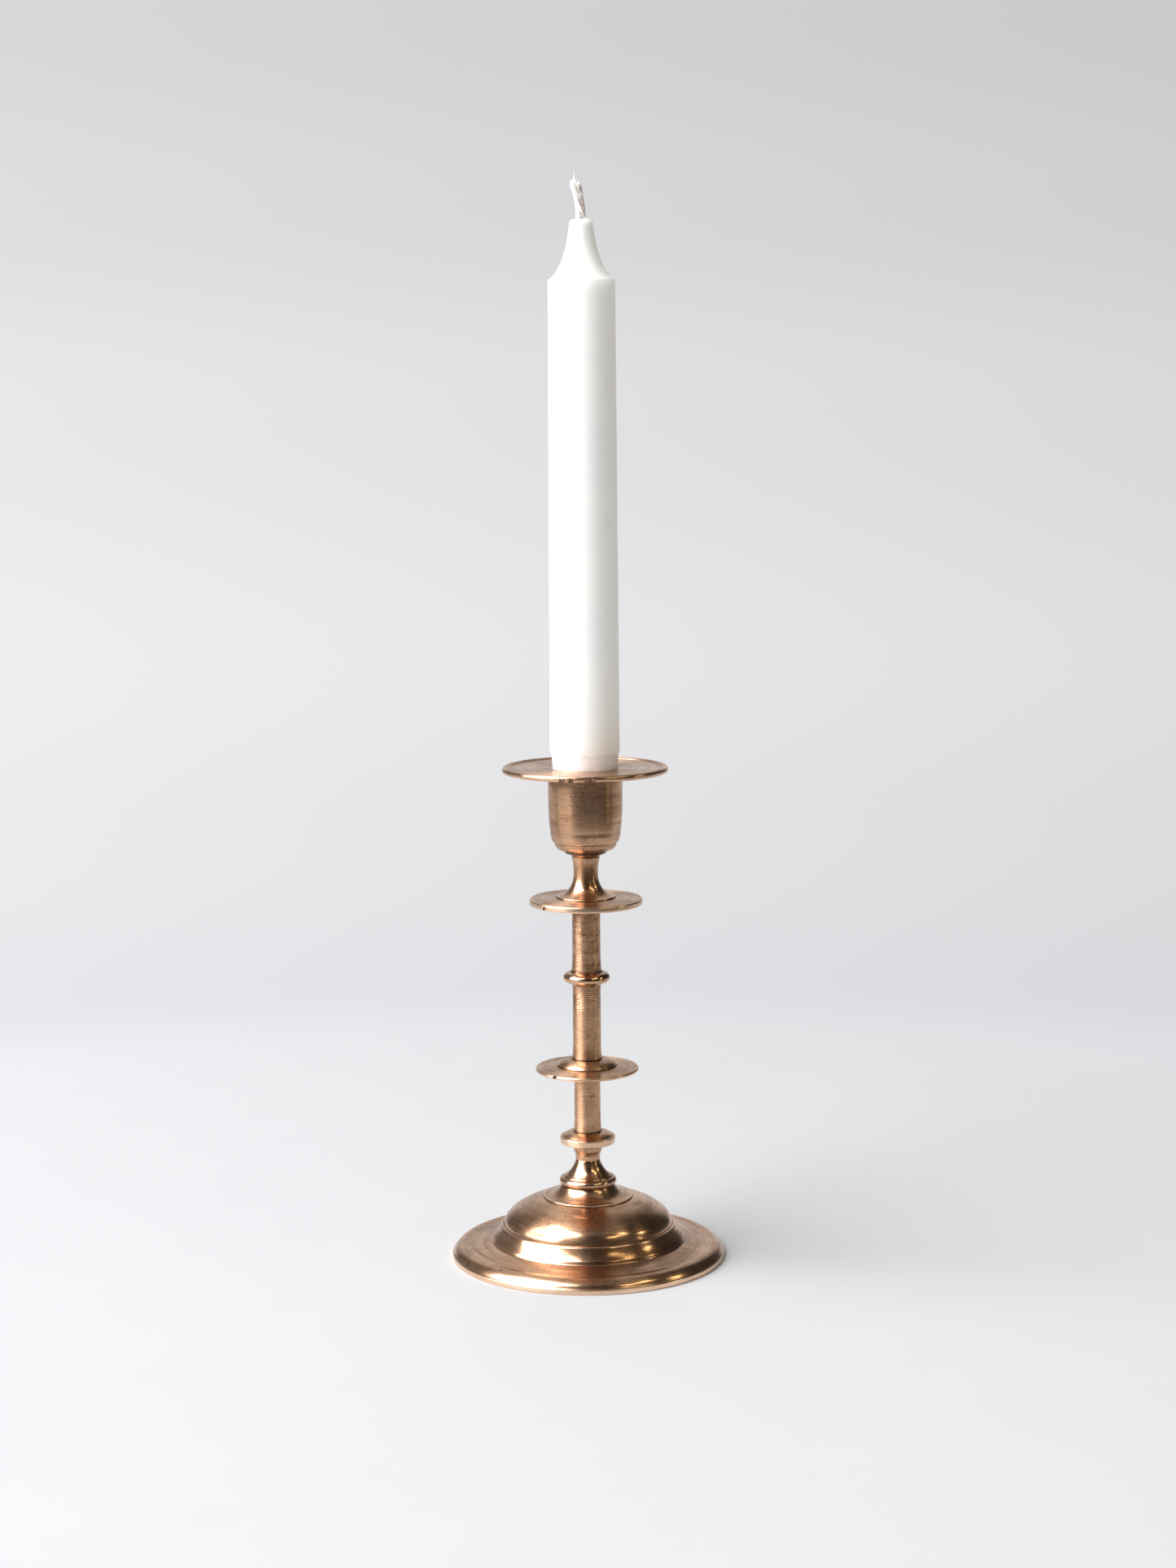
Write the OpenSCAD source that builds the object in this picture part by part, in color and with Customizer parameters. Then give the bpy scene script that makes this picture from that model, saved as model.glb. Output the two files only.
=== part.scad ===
// Turned bronze candlestick holding one household candle.
// Millimetres, +Z up, origin at the centre of the foot's underside.
// The turned sections are separate pieces stacked on one tie rod, which clamps them
// between a slotted round nut sunk in the cup's floor and a hex nut under the foot.

/* [Foot] */
// Outer radius of the foot's rim
foot_r = 43.8; // [43:0.1:46]
// Height of the rim's upright edge
rim_h = 1.7; // [1.4:0.1:2.0]
// Height of the flange where it rolls over towards the rim
flange_z = 4.2; // [4:0.1:4.5]
// Radius where the flange rolls over towards the rim
flange_r = 38.0; // [37:0.1:38.6]
// Height of the flange where it meets the band
band_z = 5.5; // [5.2:0.1:5.8]
// Radius of the upright band where it stands on the flange
band_r = 31.0; // [30.5:0.1:32]
// Height of the ledge at the top of the band
ledge_z = 10.5; // [10.2:0.1:11]
// Radius of the ledge
ledge_r = 28.2; // [28:0.1:29]
// Half width of the dome
dome_r = 27.2; // [26.8:0.1:27.6]
// Height of the dome above the ledge, if it were whole
dome_h = 10.8; // [10.4:0.1:11.2]

/* [Dome cap] */
// Radius of the cap that covers the dome's crown
cap_r = 14.3; // [14:0.1:15]
// Height of the cap
cap_h = 4.0; // [3.6:0.1:4.4]

/* [Stem] */
// Radius of the lower stem tube at its middle
lower_stem_r = 4.2; // [4:0.05:4.4]
// Radius of the middle and upper stem tubes
upper_stem_r = 4.5; // [4.3:0.05:4.7]
// How much the stem tubes swell at their lower end
stem_swell = 0.2; // [0.1:0.05:0.3]
// Length of the lower stem tube
lower_stem_h = 19.6; // [16:0.1:24]
// Length of the middle stem tube
middle_stem_h = 24.3; // [20:0.1:30]
// Length of the upper stem tube
upper_stem_h = 21.1; // [18:0.1:28]

/* [Discs and beads] */
// Radius of the bead at the stem's foot
bead_r = 9.2; // [9:0.1:9.8]
// Height of the trumpet foot with its bead
stem_foot_h = 8.2; // [8:0.1:9]
// Radius of the small thick collar
collar_r = 8.85; // [8.2:0.05:9.6]
// Height of the collar's upright edge
collar_edge_h = 2.2; // [1.8:0.1:2.6]
// Radius of the lower disc
lower_disc_r = 16.5; // [15:0.1:19]
// Radius of the upper disc
upper_disc_r = 18.0; // [16:0.1:21]
// Thickness of the lower disc at its rim
lower_disc_t = 1.1; // [0.9:0.1:1.4]
// Thickness of the upper disc at its rim
upper_disc_t = 1.9; // [1.6:0.1:2.2]
// Radius of the raised hub on the lower disc
hub_r = 9.4; // [8.5:0.1:10.5]
// Radius of the ring knop halfway up the stem
knop_r = 7.45; // [7:0.05:8.2]
// Height of the ring knop
knop_h = 4.5; // [4.2:0.1:5.4]

/* [Neck and cup] */
// Radius of the neck's spreading foot
neck_foot_r = 9.45; // [9:0.05:10]
// Radius of the neck's waist
waist_r = 3.9; // [3.8:0.05:4.2]
// Height of the neck
neck_h = 14.3; // [13.5:0.1:17]
// Radius of the thin washer under the cup
cup_washer_r = 6.6; // [6.2:0.1:7]
// Outer radius of the cup just under the drip pan
cup_r = 11.85; // [11.7:0.05:12.2]
// Height of the cup from its washer to the drip pan
cup_h = 25.6; // [24.5:0.1:27]
// Radius of the socket that the candle stands in
socket_r = 10.45; // [10.4:0.05:10.55]
// Radius of the drip pan
pan_r = 26.3; // [24:0.1:30]
// Thickness of the drip pan's flat
pan_t = 1.1; // [1:0.1:1.4]

/* [Candle] */
// Radius of the candle just above the socket
candle_r = 11.0; // [10.9:0.05:11.1]
// Length of the candle's wax
candle_l = 191; // [150:0.5:240]
// Radius of the wick
wick_r = 1.4; // [1:0.05:1.5]
// Length of bare wick above the wax
wick_bare_h = 12; // [8:0.5:14]
// How far the bare wick's tip leans to the left
wick_lean = 2.4; // [1:0.1:3]

/* [Hidden] */

BRONZE = [0.66, 0.45, 0.31];
DARK_BRONZE = [0.25, 0.16, 0.11];
STEEL = [0.62, 0.62, 0.64];
WAX = [0.96, 0.96, 0.97];
COTTON = [0.93, 0.92, 0.9];

round_fn = 180;   // facets that OpenSCAD draws round each turned piece
curve_steps = 10; // points on each curved stretch of an outline
edge_r = 0.3;     // rounding of the turned edges

// tie rod and its fasteners, M4
rod_r = 2.0;
rod_root_r = 1.65;
rod_pitch = 0.7;
rod_bore_r = 2.15;
nut_across_flats = 7;
nut_h = 3.2;
washer_r = 6;
washer_t = 0.8;
lock_washer_r = 3.8;
lock_washer_t = 0.9;
lock_washer_gap = 0.8;
rod_end_below_nut = 1.6;
round_nut_r = 3.6;
round_nut_h = 2.0;
slot_w = 1.0;
slot_depth = 0.9;

// inside of the foot
foot_ring_w = 3.9;
flange_t = 2.2;
wall_t = 2.2;
crown_t = 4.0;
boss_r = 8.5;
boss_drop = 3.4;

// levels of the stack, from the table up
dome_z = ledge_z - 0.4;
cap_seat_z = dome_z + dome_h * sqrt(1 - pow(cap_r / dome_r, 2));
boss_z = cap_seat_z - crown_t - boss_drop + 2.4;
stem_foot_z = cap_seat_z + cap_h;
collar_neck_z = stem_foot_z + stem_foot_h;
collar_edge_z = collar_neck_z + 5.6;
collar_top_z = collar_edge_z + collar_edge_h + 1.5;
lower_disc_z = collar_top_z + lower_stem_h;
lower_disc_top_z = lower_disc_z + 4.1;
knop_z = lower_disc_top_z + middle_stem_h;
upper_stem_z = knop_z + knop_h;
upper_disc_z = upper_stem_z + upper_stem_h;
neck_z = upper_disc_z + upper_disc_t + 0.7;
cup_washer_z = neck_z + neck_h;
cup_z = cup_washer_z + 0.5;
cup_top_z = cup_z + cup_h;
pan_top_z = cup_top_z + pan_t;
cup_floor_z = cup_z + 5.8;
nut_seat_z = cup_floor_z - round_nut_h - 0.2;
base_nut_z = boss_z - washer_t - lock_washer_t - nut_h;
rod_end_z = base_nut_z - rod_end_below_nut;

// candle
butt_r = socket_r - 0.1;
taper_z = pan_top_z + 4.4;
shoulder_r = candle_r - 0.58;
tip_z = cup_floor_z + candle_l;
shoulder_z = tip_z - 18.2;

// A curved stretch from a to c that is drawn towards b
function bend(a, b, c) = [
  for (i = [0:curve_steps]) let (t = i / curve_steps)
    (1 - t) * (1 - t) * a + 2 * t * (1 - t) * b + t * t * c
];

// A stretch of an ellipse about [x, z], from angle a0 to a1
function oval(centre, rx, rz, a0, a1, steps = curve_steps) = [
  for (i = [0:steps]) let (a = a0 + (a1 - a0) * i / steps)
    centre + [rx * cos(a), rz * sin(a)]
];

// The rounding of an outer edge: under it, or over it
function lower_edge(r, z, e = edge_r) = oval([r - e, z + e], e, e, -90, 0, 4);
function upper_edge(r, z, e = edge_r) = oval([r - e, z - e], e, e, 0, 90, 4);

// A piece turned to an outline that runs up its outside, bored for the tie rod
module turned(outline, bore = rod_bore_r) {
  bottom = outline[0].y;
  top = outline[len(outline) - 1].y;
  rotate_extrude($fn = round_fn)
    polygon(concat([[bore, bottom]], outline, [[bore, top]]));
}

module foot() {
  inside_r = foot_r - foot_ring_w;
  roof_rx = dome_r - wall_t;
  roof_rz = dome_h - crown_t;
  outside = concat(
    lower_edge(foot_r, 0),
    upper_edge(foot_r, rim_h),
    bend([foot_r - 0.5, rim_h + 0.2], [foot_r - 2.0, flange_z + 0.6], [flange_r, flange_z]),
    bend([band_r + 1.1, band_z - 0.2], [band_r + 0.2, band_z - 0.1], [band_r, band_z + 0.4]),
    bend([band_r - 0.3, band_z + 1], [ledge_r + 0.7, ledge_z - 2.0], [ledge_r, ledge_z - edge_r]),
    [[ledge_r - edge_r, ledge_z]],
    oval([0, dome_z], dome_r, dome_h, 3, acos(cap_r / dome_r), 24)
  );
  inside = concat(
    [[boss_r, boss_z]],
    oval([0, dome_z], roof_rx, roof_rz, acos((boss_r + 0.6) / roof_rx), 8, 14),
    [[band_r - wall_t - 1.4, ledge_z - 1], [band_r - wall_t - 0.6, band_z - flange_t]],
    [[flange_r, flange_z - flange_t], [inside_r, 1.2], [inside_r, 0]]
  );
  color(BRONZE)
    rotate_extrude($fn = round_fn)
      polygon(concat(outside, [[rod_bore_r, cap_seat_z], [rod_bore_r, boss_z]], inside));
}

module dome_cap() {
  color(BRONZE)
    turned(concat(
      lower_edge(cap_r, cap_seat_z, 0.2),
      upper_edge(cap_r, cap_seat_z + 0.6, 0.2),
      bend(
        [cap_r - 0.7, cap_seat_z + 0.65],
        [bead_r + 0.8, cap_seat_z + 1.3],
        [bead_r - 0.9, stem_foot_z]
      )
    ));
}

module stem_foot() {
  bead_h = 2.7;
  bead_top_z = stem_foot_z + bead_h;
  color(BRONZE)
    turned(concat(
      [[bead_r - 1.3, stem_foot_z]],
      oval([bead_r - 1.6, stem_foot_z + bead_h / 2], 1.6, bead_h / 2, -80, 70, 12),
      [[bead_r - 1.5, bead_top_z - 0.1], [bead_r - 1.7, bead_top_z + 0.3]],
      bend(
        [bead_r - 1.9, bead_top_z + 0.4],
        [4.7, stem_foot_z + 5.0],
        [waist_r, collar_neck_z - 0.15]
      ),
      [[waist_r - 0.1, collar_neck_z]]
    ));
}

module lower_collar() {
  color(BRONZE)
    turned(concat(
      [[waist_r - 0.1, collar_neck_z], [waist_r, collar_neck_z + 0.15]],
      bend([waist_r, collar_neck_z + 1], [waist_r + 0.1, collar_neck_z + 2.2], [4.5, collar_neck_z + 3]),
      bend([4.55, collar_edge_z - 0.6], [4.6, collar_edge_z - 0.1], [5.2, collar_edge_z]),
      lower_edge(collar_r, collar_edge_z),
      upper_edge(collar_r, collar_edge_z + collar_edge_h),
      bend(
        [collar_r - 0.6, collar_edge_z + collar_edge_h + 0.1],
        [collar_r - 2.2, collar_top_z - 0.1],
        [upper_stem_r + 0.3, collar_top_z]
      )
    ));
}

// A stem tube between two levels, swelling a little at its lower end
module stem_tube(r, z0, z1) {
  color(BRONZE)
    turned(concat(
      [[r + stem_swell - 0.15, z0], [r + stem_swell, z0 + 0.15]],
      bend([r + stem_swell, z0 + 0.8], [r, z0 + 3], [r, z0 + 7]),
      [[r, z1 - 0.6], [r + 0.05, z1 - 0.15], [r - 0.1, z1]]
    ));
}

module stem_lower() {
  stem_tube(lower_stem_r, collar_top_z, lower_disc_z);
}

module stem_middle() {
  stem_tube(upper_stem_r, lower_disc_top_z, knop_z);
}

module stem_upper() {
  stem_tube(upper_stem_r, upper_stem_z, upper_disc_z);
}

// A thin disc with a rounded rim t thick, whose top rises a little towards inner_r
function disc_rim(r, z, t, inner_r, inner_z) = let (e = 0.5, z0 = z + 0.3) concat(
  [[inner_r, z], [r - 2, z + 0.25]],
  oval([r - e, z0 + e], e, e, -80, 0, 6),
  oval([r - e, z0 + t - e], e, e, 0, 75, 6),
  [[r - 1.1, z0 + t], [inner_r, inner_z]]
);

module lower_disc() {
  hub_z = lower_disc_z + 1.9;
  color(BRONZE)
    turned(concat(
      [[5.2, lower_disc_z]],
      disc_rim(lower_disc_r, lower_disc_z, lower_disc_t, hub_r, hub_z),
      [[hub_r, hub_z + 0.35]],
      bend([hub_r - 0.15, hub_z + 0.5], [hub_r - 1.4, lower_disc_top_z - 0.05], [5, lower_disc_top_z])
    ));
}

module knop() {
  mid_z = knop_z + knop_h / 2;
  fillet_r = upper_stem_r + 0.6;
  color(BRONZE)
    turned(concat(
      [[fillet_r - 0.2, knop_z], [fillet_r, knop_z + 0.2], [fillet_r, knop_z + 0.45]],
      oval([fillet_r, mid_z], knop_r - fillet_r, knop_h / 2 - 0.45, -84, 84, 18),
      [[fillet_r, upper_stem_z - 0.45], [fillet_r, upper_stem_z - 0.2], [fillet_r - 0.2, upper_stem_z]]
    ));
}

module upper_disc() {
  color(BRONZE)
    turned(concat(
      [[5.2, upper_disc_z]],
      disc_rim(upper_disc_r, upper_disc_z, upper_disc_t, neck_foot_r + 0.4, neck_z)
    ));
}

module neck() {
  waist_z = neck_z + 7.4;
  flange_r = 5.5;
  color(BRONZE)
    turned(concat(
      lower_edge(neck_foot_r, neck_z, 0.15),
      upper_edge(neck_foot_r, neck_z + 0.5, 0.2),
      bend([neck_foot_r - 0.6, neck_z + 0.55], [4.1, neck_z + 1.8], [waist_r, waist_z]),
      bend([waist_r, waist_z + 0.6], [waist_r, waist_z + 3.4], [flange_r - 1, cup_washer_z - 1.4]),
      [[flange_r - 1.1, cup_washer_z - 1.2], [flange_r - 0.2, cup_washer_z - 0.5]],
      [[flange_r, cup_washer_z - 0.3], [flange_r, cup_washer_z - 0.1], [flange_r - 0.1, cup_washer_z]]
    ));
}

module cup_washer() {
  color(DARK_BRONZE)
    turned([[cup_washer_r - 0.1, cup_washer_z], [cup_washer_r, cup_washer_z + 0.1],
            [cup_washer_r, cup_z - 0.1], [cup_washer_r - 0.1, cup_z]]);
}

module candle_cup() {
  step_z = cup_z + 3.1;
  outside = concat(
    [[rod_bore_r, cup_z], [6.6, cup_z], [6.9, cup_z + 0.25], [7.3, cup_z + 0.4]],
    bend([8.2, cup_z + 0.5], [9.7, cup_z + 1.1], [9.9, step_z - 0.5]),
    [[10.0, step_z - 0.1], [10.35, step_z]],
    bend([10.5, step_z + 0.1], [11.0, step_z + 1.2], [11.15, step_z + 2.6]),
    bend([11.2, step_z + 3.6], [cup_r - 0.15, cup_z + 10], [cup_r - 0.12, cup_z + 14]),
    [[cup_r, cup_top_z]]
  );
  spigot = [[socket_r + 0.75, cup_top_z], [socket_r + 0.75, pan_top_z - 0.15], [socket_r + 0.6, pan_top_z],
            [socket_r + 0.25, pan_top_z]];
  inside = concat(
    [[socket_r, pan_top_z - 0.25], [socket_r, cup_floor_z + 1.2]],
    [[socket_r - 0.4, cup_floor_z + 0.4], [socket_r - 1.2, cup_floor_z]],
    [[round_nut_r + 0.3, cup_floor_z], [round_nut_r + 0.3, nut_seat_z], [rod_bore_r, nut_seat_z]]
  );
  color(BRONZE)
    rotate_extrude($fn = round_fn)
      polygon(concat(outside, spigot, inside));
}

module drip_pan() {
  hole_r = socket_r + 0.8;
  lip_r = 0.95;
  lip_z = cup_top_z + 0.55;
  color(BRONZE)
    turned(concat(
      [[pan_r - 3.6, cup_top_z], [pan_r - 2.4, cup_top_z - 0.2]],
      oval([pan_r - lip_r, lip_z], lip_r, lip_r, -100, 130, 18),
      [[pan_r - 2.0, pan_top_z + 0.1], [pan_r - 2.2, pan_top_z - 0.15], [pan_r - 2.4, pan_top_z]],
      [[hole_r + 0.2, pan_top_z]]
    ), hole_r);
}

// The rod's thread is drawn as rings at the thread's pitch where it can be seen
module tie_rod() {
  top_z = cup_floor_z - 0.6;
  rings = floor((boss_z - rod_end_z) / rod_pitch);
  thread = [
    for (i = [0:rings - 1]) let (z = rod_end_z + 0.4 + i * rod_pitch)
      each [[rod_root_r, z], [rod_r, z + rod_pitch * 0.4], [rod_r, z + rod_pitch * 0.6]]
  ];
  plain_z = rod_end_z + 0.4 + rings * rod_pitch;
  color(STEEL)
    rotate_extrude($fn = round_fn)
      polygon(concat(
        [[0, rod_end_z], [rod_root_r - 0.3, rod_end_z]],
        thread,
        [[rod_root_r, plain_z], [rod_r, plain_z + 0.3], [rod_r, top_z - 0.3]],
        [[rod_r - 0.3, top_z], [0, top_z]]
      ));
}

module cup_nut() {
  top_z = nut_seat_z + round_nut_h;
  color(STEEL)
    difference() {
      turned([[round_nut_r, nut_seat_z], [round_nut_r, top_z - 0.2], [round_nut_r - 0.2, top_z]], rod_r + 0.02);
      translate([-round_nut_r - 1, -slot_w / 2, top_z - slot_depth])
        cube([2 * round_nut_r + 2, slot_w, slot_depth + 1]);
    }
}

module base_washer() {
  z = boss_z - washer_t;
  color(STEEL)
    turned([[washer_r - 0.1, z], [washer_r, z + 0.1], [washer_r, boss_z - 0.1], [washer_r - 0.1, boss_z]]);
}

module lock_washer() {
  z = boss_z - washer_t - lock_washer_t;
  color(STEEL)
    difference() {
      turned([[lock_washer_r, z], [lock_washer_r, z + lock_washer_t]]);
      translate([0, -lock_washer_gap / 2, z - 1])
        cube([lock_washer_r + 1, lock_washer_gap, lock_washer_t + 2]);
    }
}

module base_nut() {
  across_corners_r = nut_across_flats / 2 / cos(30);
  chamfer = 0.5;
  top_z = base_nut_z + nut_h;
  color(STEEL)
    difference() {
      intersection() {
        translate([0, 0, base_nut_z])
          cylinder(r = across_corners_r, h = nut_h, $fn = 6);
        turned([[across_corners_r - chamfer, base_nut_z], [across_corners_r + 0.1, base_nut_z + chamfer],
                [across_corners_r + 0.1, top_z - chamfer], [across_corners_r - chamfer, top_z]], 0);
      }
      translate([0, 0, base_nut_z - 1])
        cylinder(r = rod_r + 0.02, h = nut_h + 2, $fn = 96);
    }
}

module candle() {
  ledge = 0.7;
  color(WAX)
    turned(concat(
      [[butt_r - 1.3, cup_floor_z], [butt_r - 0.5, cup_floor_z + 0.5]],
      [[butt_r, cup_floor_z + 1.5], [butt_r, pan_top_z + 0.2]],
      bend([butt_r + 0.05, pan_top_z + 0.6], [candle_r - 0.02, pan_top_z + 3], [candle_r, taper_z]),
      [[shoulder_r, shoulder_z - 0.25], [shoulder_r - 0.2, shoulder_z]],
      [[shoulder_r - ledge, shoulder_z + 0.15]],
      bend([shoulder_r - ledge - 0.3, shoulder_z + 0.4], [5.0, shoulder_z + 4.8], [3.75, tip_z - 2]),
      bend([3.7, tip_z - 1.4], [3.5, tip_z], [2.2, tip_z])
    ), wick_r + 0.02);
}

// Centre line of the wick with its radius: straight up the wax, then curling over to the left
wick_steps = 8;
wick_line = concat(
  [[0, cup_floor_z, wick_r], [0, tip_z, wick_r]],
  [
    for (i = [1:wick_steps]) let (t = i / wick_steps)
      [-wick_lean * t * t, tip_z + (wick_bare_h - 0.5) * t, wick_r]
  ],
  [[-wick_lean - 0.2, tip_z + wick_bare_h, 0.6 * wick_r]]
);

module wick() {
  sides = 12;
  rings = len(wick_line);
  points = [
    for (ring = wick_line, j = [0:sides - 1]) let (a = 360 * j / sides)
      [ring.x + ring.z * cos(a), ring.z * sin(a), ring.y]
  ];
  sides_of_tube = [
    for (i = [0:rings - 2], j = [0:sides - 1]) let (k = (j + 1) % sides)
      [i * sides + j, (i + 1) * sides + j, (i + 1) * sides + k, i * sides + k]
  ];
  ends = [[for (j = [0:sides - 1]) j], [for (j = [sides - 1:-1:0]) (rings - 1) * sides + j]];
  color(COTTON)
    polyhedron(points, concat(sides_of_tube, ends));
}

foot();
dome_cap();
stem_foot();
lower_collar();
stem_lower();
lower_disc();
stem_middle();
knop();
stem_upper();
upper_disc();
neck();
cup_washer();
candle_cup();
drip_pan();
tie_rod();
cup_nut();
base_washer();
lock_washer();
base_nut();
candle();
wick();
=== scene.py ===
import math
import random

import bmesh
import bpy
import numpy as np
from mathutils import Matrix, Vector


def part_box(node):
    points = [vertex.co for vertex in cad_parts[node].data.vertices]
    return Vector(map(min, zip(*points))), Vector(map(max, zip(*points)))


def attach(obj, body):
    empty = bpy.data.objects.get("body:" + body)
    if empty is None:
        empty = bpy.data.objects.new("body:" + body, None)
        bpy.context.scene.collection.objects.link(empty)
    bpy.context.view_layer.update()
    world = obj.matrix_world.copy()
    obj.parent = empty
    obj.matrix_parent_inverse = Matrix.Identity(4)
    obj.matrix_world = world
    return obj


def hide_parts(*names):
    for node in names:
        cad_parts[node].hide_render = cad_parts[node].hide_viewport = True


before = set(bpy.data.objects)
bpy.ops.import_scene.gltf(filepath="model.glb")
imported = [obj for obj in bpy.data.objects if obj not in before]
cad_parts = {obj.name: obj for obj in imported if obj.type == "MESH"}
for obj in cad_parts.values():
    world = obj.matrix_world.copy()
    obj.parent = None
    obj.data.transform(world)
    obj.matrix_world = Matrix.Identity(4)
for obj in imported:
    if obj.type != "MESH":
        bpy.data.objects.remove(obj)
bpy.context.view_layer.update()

MM = 0.001
TURN = 2 * math.pi
rng = random.Random(22)

# tolerances in metres: points closer than WELD are one, and STRAIGHT is a corner too small to keep
WELD = 1e-7
SAME_POINT = 2e-6
STRAIGHT = 1e-6


# ---------------------------------------------------------------- outlines of the turned pieces

def cut_outline(node):
    """The node's outline in the half plane y = 0, x > 0, as a closed list of (r, z)."""
    bm = bmesh.new()
    bm.from_mesh(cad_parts[node].data)
    bmesh.ops.remove_doubles(bm, verts=bm.verts, dist=WELD)
    geom = bm.verts[:] + bm.edges[:] + bm.faces[:]
    cut = bmesh.ops.bisect_plane(bm, geom=geom, dist=WELD, plane_co=(0, 0, 0), plane_no=(0, 1, 0))
    links = {}
    for e in cut["geom_cut"]:
        if isinstance(e, bmesh.types.BMEdge) and min(v.co.x for v in e.verts) > STRAIGHT:
            a, b = e.verts
            links.setdefault(a, []).append(b)
            links.setdefault(b, []).append(a)
    points = [(v.co.x, v.co.z) for v in longest_chain(links)]
    bm.free()
    return tidy_outline(points)


def longest_chain(links):
    """The longest run of vertices that are linked one to the next."""
    best = []
    seen = set()
    for start in links:
        if start in seen:
            continue
        loop = [start]
        seen.add(start)
        while True:
            onward = [v for v in links[loop[-1]] if v not in seen]
            if not onward:
                break
            loop.append(onward[0])
            seen.add(onward[0])
        if len(loop) > len(best):
            best = loop
    return best


def tidy_outline(points):
    """The same outline, anticlockwise, without doubled points or points within a straight."""
    kept = []
    for p in points:
        if not kept or math.dist(p, kept[-1]) > SAME_POINT:
            kept.append(p)
    if math.dist(kept[0], kept[-1]) < SAME_POINT:
        kept.pop()
    changed = True
    while changed:
        changed = False
        for i in range(len(kept)):
            a, b, c = kept[i - 1], kept[i], kept[(i + 1) % len(kept)]
            cross = (c[0] - a[0]) * (b[1] - a[1]) - (c[1] - a[1]) * (b[0] - a[0])
            if abs(cross) / max(math.dist(a, c), 1e-9) < STRAIGHT:
                kept.pop(i)
                changed = True
                break
    area = sum(p[0] * q[1] - q[0] * p[1] for p, q in zip(kept, kept[1:] + kept[:1]))
    return kept if area > 0 else kept[::-1]


def refine(points, step, soft=math.radians(27)):
    """The outline in steps no longer than step, with corners below the soft angle made smooth."""
    n = len(points)
    pts = [Vector(p) for p in points]
    runs = [pts[(i + 1) % n] - pts[i] for i in range(n)]
    tangents = []
    for i in range(n):
        before, after = runs[i - 1], runs[i]
        bend = before.angle(after, 0)
        tangents.append((before + after).normalized() if bend < soft else None)
    out = []
    for i in range(n):
        a, b, run = pts[i], pts[(i + 1) % n], runs[i]
        size = run.length
        ends = (tangents[i], tangents[(i + 1) % n])
        leaving, arriving = (run.normalized() if end is None else end for end in ends)
        k = max(1, math.ceil(size / step))
        for j in range(k):
            t = j / k
            p = (2 * t ** 3 - 3 * t ** 2 + 1) * a + (3 * t ** 2 - 2 * t ** 3) * b
            p += size * ((t ** 3 - 2 * t ** 2 + t) * leaving + (t ** 3 - t ** 2) * arriving)
            out.append((p.x, p.y))
    return out


TURNED = [
    "foot", "dome_cap", "stem_foot", "lower_collar", "stem_lower", "lower_disc", "stem_middle",
    "knop", "stem_upper", "upper_disc", "neck", "cup_washer", "candle_cup", "drip_pan", "candle",
]
OUTLINES = {node: cut_outline(node) for node in TURNED}


def filled(points, reach, names, probe_count=24):
    """How much of a circle round each point is solid: about 0.5 on a flat, 1 deep in a corner."""
    p = np.array(points)
    ring = np.linspace(0, TURN, probe_count, endpoint=False)
    probes = p[:, None, :] + reach * np.stack([np.cos(ring), np.sin(ring)], 1)[None]
    flat = probes.reshape(-1, 2)
    inside = np.zeros(len(flat), bool)
    for name in names:
        poly = np.array(OUTLINES[name])
        nxt = np.roll(poly, -1, 0)
        hit = np.zeros(len(flat), bool)
        for (x0, y0), (x1, y1) in zip(poly, nxt):
            if y0 == y1:
                continue
            crosses = (y0 > flat[:, 1]) != (y1 > flat[:, 1])
            at = x0 + (flat[:, 1] - y0) * (x1 - x0) / (y1 - y0)
            hit ^= crosses & (flat[:, 0] < at)
        inside |= hit
    return inside.reshape(len(p), -1).mean(1)


# ---------------------------------------------------------------- turning the pieces

def lo(node):
    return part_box(node)[0]


def hi(node):
    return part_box(node)[1]


def add_object(name, data):
    obj = bpy.data.objects.new(name, data)
    bpy.context.scene.collection.objects.link(obj)
    return obj


FULL_DENT = 0.3 * MM
SHARP_EDGE = math.radians(38)


def lathe(name, outline, angles, shape=None, values=None):
    """A mesh turned from a closed outline. shape(r, z, angle) gives a moved (r, z).

    values are attributes with one number for each outline point. The attribute dent is how far
    shape has moved the surface, 1 at FULL_DENT.
    """
    n, m = len(outline), len(angles)
    co = np.zeros((n * m, 3))
    dent = np.zeros(n * m)
    for i, (r, z) in enumerate(outline):
        for j, a in enumerate(angles):
            rr, zz = shape(r, z, a) if shape else (r, z)
            co[i * m + j] = (rr * math.cos(a), rr * math.sin(a), zz)
            dent[i * m + j] = min(1.0, math.dist((r, z), (rr, zz)) / FULL_DENT)
    faces = []
    for i in range(n):
        k = (i + 1) % n
        for j in range(m):
            q = (j + 1) % m
            faces.append((i * m + j, i * m + q, k * m + q, k * m + j))
    mesh = bpy.data.meshes.new(name)
    mesh.from_pydata(co.tolist(), [], faces)
    for key, per_point in (values or {}).items():
        layer = mesh.attributes.new(key, "FLOAT", "POINT")
        layer.data.foreach_set("value", np.repeat(np.asarray(per_point, np.float32), m))
    mesh.attributes.new("dent", "FLOAT", "POINT").data.foreach_set("value", dent)
    mesh.shade_smooth()
    mesh.set_sharp_from_angle(angle=SHARP_EDGE)
    return add_object(name, mesh)


def even_angles(count):
    return [TURN * i / count for i in range(count)]


def turn_between(a, b):
    """The signed angle from b to a, within half a turn."""
    return (a - b + math.pi) % TURN - math.pi


def finer_near(angles, places, width, times):
    """The same angles, with extra ones close to each place."""
    step = angles[1] - angles[0]
    out = set(angles)
    for a in angles:
        if any(abs(turn_between(a, place)) < width for place in places):
            for k in range(1, times):
                out.add(a + step * k / times)
    return sorted(out)


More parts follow.
